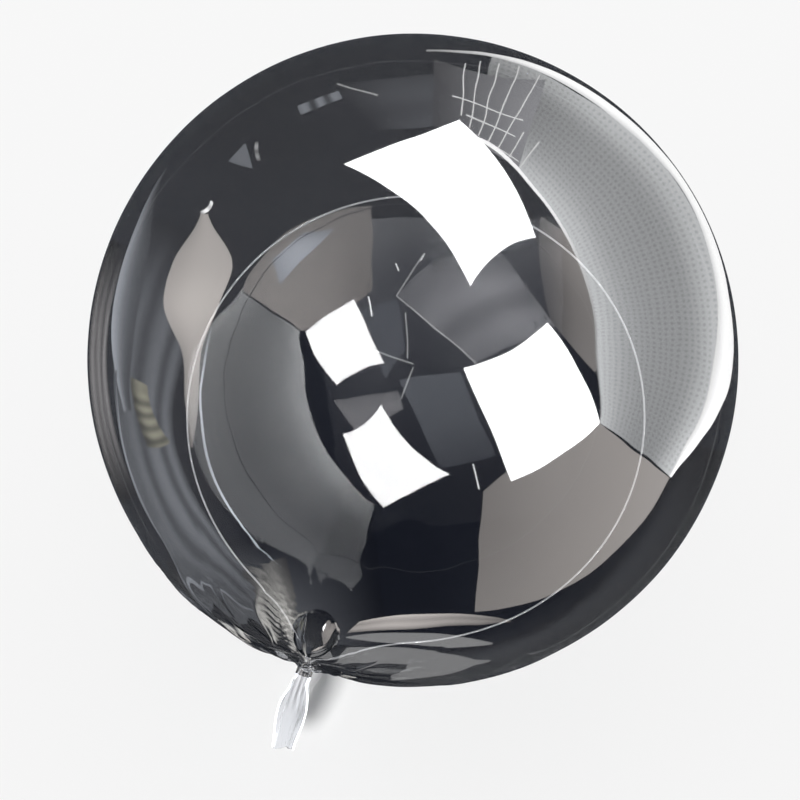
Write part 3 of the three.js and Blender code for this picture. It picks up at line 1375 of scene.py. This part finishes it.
LEFT_LIGHTS = (
    Card(
        "patch_left",
        Streak(
            -0.280, 0.480,
            left=(-0.72, -0.74, -0.75, -0.815, -0.78, -0.69),
            right=(-0.71, -0.695, -0.69, -0.635, -0.585, -0.665),
        ),
        near=0.34, tint=WARM, along=(0.75, 1.0, 1.0), across=(0.4, 0.7, 0.9, 1.15, 0.95, 0.8),
        grid=(24, 60), layer=1,
    ),
    Card(
        "strip_left",
        Band(
            142.0, 190.0,
            inner=(1.015, 0.930, 0.910, 0.930),
            outer=(1.018, 1.000, 0.985, 0.955),
        ),
        near=0.20, tint=COOL, along=(0.3, 0.8, 1.0, 0.7), across=(0.2, 0.5, 1.5),
        grid=(48, 12), layer=1,
    ),
    Card(
        "lamp_left",
        Patch(
            ((-0.865, -0.280), (-0.783, -0.262), (-0.865, -0.078), (-0.917, -0.052)),
            (-0.15, 0.08, 0.0, 0.05),
        ),
        near=0.14, tint=(1.0, 0.97, 0.74), along=(0.3, 1.1, 1.0),
        across=(0.9, 0.4, 1.2, 0.5, 1.2, 0.5, 1.2, 0.5, 1.1, 0.9, 1.0),
        grid=(12, 60), layer=2,
    ),
)
RIG = (
    Card(
        "rig_panel",
        stroke((-0.375, 0.812), (-0.240, 0.866), 0.030),
        near=0.12, tint=COOL, along=(0.8, 1.2, 0.1, 1.3, 0.2, 1.2, 0.9), layer=1,
    ),
    Card(
        "rig_corner",
        Patch(((-0.600, 0.650), (-0.519, 0.627), (-0.545, 0.705), (-0.550, 0.703))),
        near=0.10, tint=COOL, layer=1,
    ),
    Card(
        "rig_glint",
        stroke((-0.500, 0.652), (-0.508, 0.712), 0.012, bow=0.1),
        near=0.20, along=(0.3, 1.0, 0.4, 1.2, 0.2), layer=1,
    ),
    Card(
        "rig_lamp",
        stroke((-0.690, 0.483), (-0.652, 0.520), 0.012, bow=-0.15),
        near=0.70, along=(0.3, 1.2, 0.6, 1.2), layer=1,
    ),
)
RIM_GLOWS = (
    Card(
        "rim_streaks_left",
        Band(158.0, 206.0, inner=(0.995, 0.995), outer=(1.055, 1.055)),
        near=0.13, tint=(1.0, 0.96, 0.97), along=(0.0, 1.0, 1.0, 0.0),
        across=(0.2, 1.2, 0.5, 1.1, 0.7, 1.2, 0.4), grid=(40, 48),
    ),
    Card(
        "glow_low_left",
        Band(
            150.0, 238.0,
            inner=(0.70, 0.72, 0.80, 0.84, 0.88),
            outer=(0.95, 0.965, 0.985, 1.00, 0.985),
        ),
        near=0.075, tint=COOL, along=(0.0, 0.8, 1.0, 1.2, 1.1, 0.5),
        across=(0.3, 1.2, 0.5, 1.3, 1.1, 0.5, 1.1, 0.8, 0.9), grid=(60, 48), dome=4.3,
    ),
    Card(
        "glow_low",
        Band(236.0, 345.0, inner=(0.93, 0.95, 0.96, 0.93, 0.90), outer=(1.055, 1.055)),
        near=0.016, tint=COOL, along=(0.2, 1.0, 1.3, 1.0, 0.0), across=(0.0, 1.0, 0.7, 1.2),
        grid=(60, 24), dome=4.3,
    ),
)
LOW_LIGHTS = (
    Card(
        "low_light_upper",
        Patch(
            ((-0.185, -0.888), (0.333, -0.846), (0.333, -0.840), (-0.150, -0.852)),
            (-0.02, 0.0, 0.045, 0.0),
        ),
        near=0.30, tint=WARM, along=(0.9, 1.2, 1.0, 0.7, 0.4), across=(0.5, 1.0, 0.8, 1.3), layer=1,
    ),
    Card(
        "low_light_middle",
        Patch(
            ((-0.183, -0.905), (0.271, -0.925), (0.271, -0.920), (-0.183, -0.901)),
            (-0.06, 0.0, 0.03, 0.0),
        ),
        near=0.16,
    ),
    Card(
        "low_light_lower",
        Patch(
            ((-0.193, -1.000), (0.271, -0.976), (0.271, -0.973), (-0.170, -0.940)),
            (-0.06, 0.0, 0.0, 0.0),
        ),
        near=0.14,
    ),
)
NECK_LIGHTS = (
    Card(
        "neck_light",
        Patch(((-0.400, -0.960), (-0.330, -0.945), (-0.400, -0.630), (-0.570, -0.690))),
        near=0.30, tint=(1.0, 0.98, 0.93), along=(0.25, 0.5, 1.0, 0.7, 1.0, 0.5, 0.25),
        across=(1.8, 1.3, 1.0, 0.8, 0.5, 0.3), layer=2,
    ),
    Card(
        "neck_glow",
        Patch(((-0.75, -0.98), (-0.05, -0.93), (-0.12, -0.50), (-0.80, -0.62))),
        near=0.06, tint=COOL, along=(0.4, 1.0, 1.0, 0.5, 0.0), across=(1.2, 1.0, 0.8, 0.4, 0.0),
        dome=4.6,
    ),
)
INSIDE = (
    Card(
        "room_inside",
        Patch(((-0.340, 0.470), (-0.220, -0.560), (0.520, -0.480), (0.480, 0.480))),
        far=0.055, tint=(0.92, 0.94, 1.0), along=(1.3, 0.9, 0.5, 0.2, 0.1),
        across=(0.7, 1.1, 0.8, 1.2, 1.0, 0.6), dome=5.4,
    ),
    Card(
        "light_inside",
        Patch(((-0.460, 0.330), (-0.434, 0.251), (-0.255, 0.437), (-0.356, 0.421))),
        far=0.30, tint=COOL, across=(0.8, 1.1, 0.6), dome=3.5,
    ),
    Card(
        "middle_inside",
        Patch(
            ((-0.054, 0.222), (0.215, 0.007), (0.470, 0.130), (0.277, 0.376)),
            (0.0, 0.0, 0.0, 0.12),
        ),
        far=0.145, tint=(0.95, 0.95, 1.0), along=(0.8, 0.9, 1.2, 0.8, 1.1, 0.9),
        across=(0.9, 1.0, 1.2, 0.9), dome=5.0,
    ),
    Card(
        "gap_inside",
        Patch(((-0.255, -0.121), (-0.166, -0.238), (-0.020, -0.150), (-0.039, -0.091))),
        far=0.125, tint=(0.98, 0.97, 1.0), along=(0.8, 1.1, 0.9), dome=5.0,
    ),
    Card(
        "notch_inside",
        Patch(((-0.200, 0.170), (-0.088, -0.046), (-0.020, 0.046), (-0.052, 0.209))),
        far=0.07, tint=COOL, dome=5.0,
    ),
    Card(
        "side_inside",
        Patch(((-0.036, -0.052), (0.094, -0.346), (0.274, -0.297), (0.160, -0.020))),
        far=0.07, tint=COOL, along=(1.2, 1.0, 0.6), dome=5.0,
    ),
)
FAINT_EDGES = (
    ((-0.054, 0.222), (0.039, 0.359)),
    ((-0.054, 0.222), (0.215, 0.007)),
    ((-0.117, 0.046), (0.010, -0.003)),
    ((0.010, -0.013), (-0.029, -0.111)),
    ((-0.020, 0.163), (-0.010, 0.016)),
    ((-0.248, 0.902), (-0.117, 0.865)),
)
BRIGHT_EDGES = (
    ((-0.152, 0.217), (-0.137, 0.153)),
    ((0.202, -0.321), (0.220, -0.410)),
    ((-0.058, 0.322), (-0.048, 0.300)),
    ((0.027, 0.335), (0.040, 0.360)),
)
WINDOW_BARS = (
    ((0.163, 0.966), (0.150, 0.803)),
    ((0.212, 0.973), (0.176, 0.767)),
    ((0.271, 0.966), (0.206, 0.738)),
    ((0.336, 0.960), (0.238, 0.718)),
    ((0.401, 0.933), (0.268, 0.695)),
    ((0.356, 0.751), (0.304, 0.666)),
    ((0.405, 0.721), (0.336, 0.627)),
    ((0.120, 0.862), (0.352, 0.790)),
    ((0.165, 0.805), (0.325, 0.735)),
    ((0.232, 0.722), (0.338, 0.655)),
)
LINE_WIDTH = 0.0042
LINES = tuple(
    Card(f"{kind}_{number}", stroke(*ends, LINE_WIDTH), near=near, layer=2, grid=(24, 1))
    for kind, near, lines in (
        ("faint_edge", 0.26, FAINT_EDGES),
        ("bright_edge", 0.9, BRIGHT_EDGES),
        ("grid", 0.5, WINDOW_BARS),
    )
    for number, ends in enumerate(lines)
)
EDGES = (
    Card(
        "edge_line",
        Band(
            74.2, -16.5,
            inner=(0.752, 0.685, 0.641, 0.616, 0.602, 0.640),
            outer=(0.764, 0.696, 0.649, 0.622, 0.607, 0.644),
        ),
        near=0.8, along=(1.0, 1.0, 0.6, 0.35, 0.25), grid=(60, 2), layer=2,
    ),
    Card(
        "edge_line_left",
        Band(
            170.4, 238.6,
            inner=(0.661, 0.703, 0.752, 0.784),
            outer=(0.667, 0.710, 0.759, 0.790),
        ),
        near=0.45, tint=COOL, along=(0.1, 1.0, 0.8, 1.2, 0.5), grid=(60, 2), layer=2,
    ),
    Card(
        "rim_line_left",
        Band(
            181.7, 236.7,
            inner=(0.963, 0.985, 1.000, 0.985),
            outer=(0.968, 0.991, 1.006, 0.990),
        ),
        near=0.22, tint=COOL, along=(0.3, 1.0, 0.8, 1.0, 0.4), grid=(60, 2), layer=2,
    ),
)
CARDS = (
    SOFTBOXES
    + WALLS
    + LEFT_LIGHTS
    + RIG
    + RIM_GLOWS
    + LOW_LIGHTS
    + NECK_LIGHTS
    + INSIDE
    + LINES
    + EDGES
)


@dataclass(frozen=True)
class Studio:
    """The pale floor, the soft light and the cards that the film mirrors."""

    view: View
    floor_radius: float = 12.0
    floor_sides: int = 96
    floor_drop: float = 0.0004
    floor_tone: Colour = opaque(0.90, 0.90, 0.90)
    horizon: Colour = opaque(0.92, 0.92, 0.92)
    ambient: Colour = opaque(0.16, 0.16, 0.16)
    surround: Colour = opaque(0.020, 0.024, 0.034)
    sun_power: float = 3.6
    sun_elevation: float = math.radians(50)
    sun_azimuth: float = math.radians(12)
    sun_angle: float = math.radians(14)

    def _floor(self) -> None:
        """Lay the floor, a hair below the flat spot."""
        deselect_all()
        bpy.ops.mesh.primitive_circle_add(
            vertices=self.floor_sides, radius=self.floor_radius, fill_type="NGON"
        )
        floor = bpy.context.object
        floor.name = "floor"
        for vertex in floor.data.vertices:
            vertex.co.z = -self.floor_drop
        material = bpy.data.materials.new("floor")
        material.use_nodes = True
        shader = material.node_tree.nodes["Principled BSDF"]
        shader.inputs["Base Color"].default_value = self.floor_tone
        shader.inputs["Roughness"].default_value = 0.9
        shader.inputs["Specular IOR Level"].default_value = 0.0
        floor.data.materials.append(material)
        set_seen_by(floor, SeenBy.ALL_BUT_REFLECTIONS)

    def _world(self) -> None:
        """Light the set faintly from all round, and keep what the film mirrors dark."""
        world = bpy.data.worlds.new("studio")
        bpy.context.scene.world = world
        world.use_nodes = True
        world.cycles.sampling_method = "NONE"
        tree = world.node_tree
        tree.nodes.clear()
        pale, dim, dark = (
            add_node(tree, "Background", {"Color": colour}).outputs[0]
            for colour in (self.horizon, self.ambient, self.surround)
        )
        path = add_node(tree, "LightPath")
        for_film = add_node(tree, "MixShader")
        for_camera = add_node(tree, "MixShader")
        out = add_node(tree, "OutputWorld")
        tree.links.new(path.outputs["Is Glossy Ray"], for_film.inputs["Fac"])
        tree.links.new(dim, for_film.inputs[1])
        tree.links.new(dark, for_film.inputs[2])
        tree.links.new(path.outputs["Is Camera Ray"], for_camera.inputs["Fac"])
        tree.links.new(for_film.outputs[0], for_camera.inputs[1])
        tree.links.new(pale, for_camera.inputs[2])
        tree.links.new(for_camera.outputs[0], out.inputs["Surface"])

    def _sun(self) -> None:
        """Hang the broad soft light, from over the camera, so that the shadow falls behind."""
        data = bpy.data.lights.new("soft_sun", "SUN")
        data.energy = self.sun_power
        data.angle = self.sun_angle
        sun = bpy.data.objects.new("soft_sun", data)
        bpy.context.scene.collection.objects.link(sun)
        across = math.cos(self.sun_elevation)
        way = Vector(
            (
                -across * math.sin(self.sun_azimuth),
                -across * math.cos(self.sun_azimuth),
                math.sin(self.sun_elevation),
            )
        )
        sun.rotation_mode = "QUATERNION"
        sun.rotation_quaternion = (-way).to_track_quat("-Z", "Y")
        sun.visible_glossy = False

    def build(self) -> None:
        """Set up the whole studio."""
        self._floor()
        self._world()
        self._sun()
        for card in CARDS:
            card.build(self.view)
        bpy.context.scene.view_settings.view_transform = "Standard"


def main() -> None:
    """Build the camera, the balloon and the studio."""
    axes = NeckFrame.from_box(
        flat_depth=0.0015,
        drop=math.radians(34),
        turn=math.radians(22.2),
        rise=math.radians(44),
    )
    view = View(axes)
    view.place_camera()
    for piece in Balloon(FilmForm(axes)).build():
        log.info("%s: %d faces", piece.name, len(piece.data.polygons))
    Studio(view).build()


if __name__ == "__main__":
    main()
